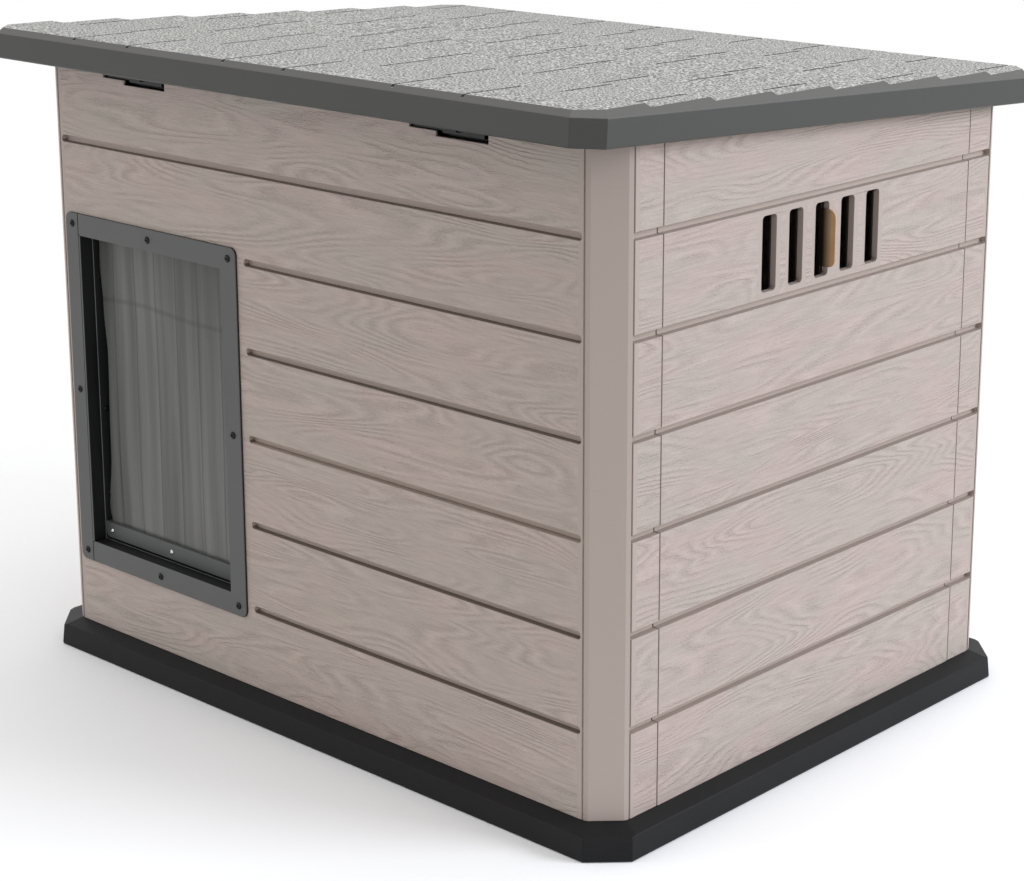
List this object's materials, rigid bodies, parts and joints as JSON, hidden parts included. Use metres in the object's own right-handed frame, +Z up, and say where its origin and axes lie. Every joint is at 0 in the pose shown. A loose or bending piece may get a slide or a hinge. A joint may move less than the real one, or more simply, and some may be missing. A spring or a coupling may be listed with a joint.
{
  "type": "dog house",
  "caption": "Plank-walled dog house with a hinged shingle lid, a swinging door flap, keyhole roof latches, and sliding vents in both side walls.",
  "frame": {"origin": "centre of the base's underside, where the house rests on the ground", "axes": "+X to the right along the front wall seen from outside, +Y to the back, +Z up"},
  "size_m": [0.946, 0.7768, 0.7707],
  "materials": {
    "base_plastic": "moulded, near black, satin",
    "wall_plastic": "warm grey with embossed wood grain",
    "roof_plastic": "grey with a fine granular top and a smooth darker rim",
    "trim_plastic": "dark grey, lightly grained",
    "flap_vinyl": "flexible smoke-tinted sheet",
    "bar_plastic": "dark grey, smooth",
    "latch_plastic": "dark slate grey, satin",
    "slider_plastic": "tan, smooth",
    "black_screws": "black oxide, domed heads",
    "bright_rivets": "bright",
    "zinc_hinges": "zinc plated"
  },
  "bodies": {
    "house": {"base_floor": "base_plastic", "base_screws": "black_screws", "front_panel": "wall_plastic", "rear_panel": "wall_plastic", "side_panel_left": "wall_plastic", "side_panel_right": "wall_plastic", "panel_screws": "black_screws", "door_frame_stile": "trim_plastic", "door_frame_surround": "trim_plastic", "door_frame_screws": "black_screws", "door_inner_frame": "trim_plastic", "door_jamb_screws": "black_screws", "flap_held_edge": "flap_vinyl", "flap_clamp_bars": "bar_plastic", "flap_clamp_screws": "black_screws", "latch_housing_left": "trim_plastic", "latch_housing_right": "trim_plastic", "latch_housing_screws": "black_screws", "hinge_leaf_wall_left": "zinc_hinges", "hinge_leaf_wall_right": "zinc_hinges", "hinge_pins": "zinc_hinges", "hinge_wall_screws": "zinc_hinges", "vent_track_left": "trim_plastic", "vent_track_right": "trim_plastic", "vent_track_screws": "black_screws"},
    "roof": {"roof_shell": "roof_plastic", "latch_striker_left": "latch_plastic", "latch_striker_right": "latch_plastic", "striker_screws": "black_screws", "hinge_leaf_roof_left": "zinc_hinges", "hinge_leaf_roof_right": "zinc_hinges", "hinge_roof_screws": "zinc_hinges"},
    "flap": {"flap_sheet": "flap_vinyl", "flap_bar_front": "bar_plastic", "flap_bar_rear": "bar_plastic", "flap_rivets": "bright_rivets"},
    "latch_left": {"latch_bar_left": "latch_plastic"},
    "latch_right": {"latch_bar_right": "latch_plastic"},
    "vent_left": {"vent_slider_left": "slider_plastic"},
    "vent_right": {"vent_slider_right": "slider_plastic"}
  },
  "joints": [
    {"name": "roof_hinge", "type": "hinge", "parent": "house", "child": "roof", "pos_m": [0, 0.3575, 0.6956], "axis": [-1, 0, 0], "range_deg": [0, 100]},
    {"name": "flap_swing", "type": "hinge", "parent": "house", "child": "flap", "pos_m": [-0.2535, -0.3229, 0.518], "axis": [1, 0, 0], "range_deg": [-80, 80]},
    {"name": "latch_slide_left", "type": "slide", "parent": "house", "child": "latch_left", "axis": [-1, 0, 0], "range_m": [0, 0.02]},
    {"name": "latch_slide_right", "type": "slide", "parent": "house", "child": "latch_right", "axis": [-1, 0, 0], "range_m": [0, 0.02]},
    {"name": "vent_slide_left", "type": "slide", "parent": "house", "child": "vent_left", "axis": [0, -1, 0], "range_m": [0, 0.02]},
    {"name": "vent_slide_right", "type": "slide", "parent": "house", "child": "vent_right", "axis": [0, -1, 0], "range_m": [0, 0.02]}
  ]
}
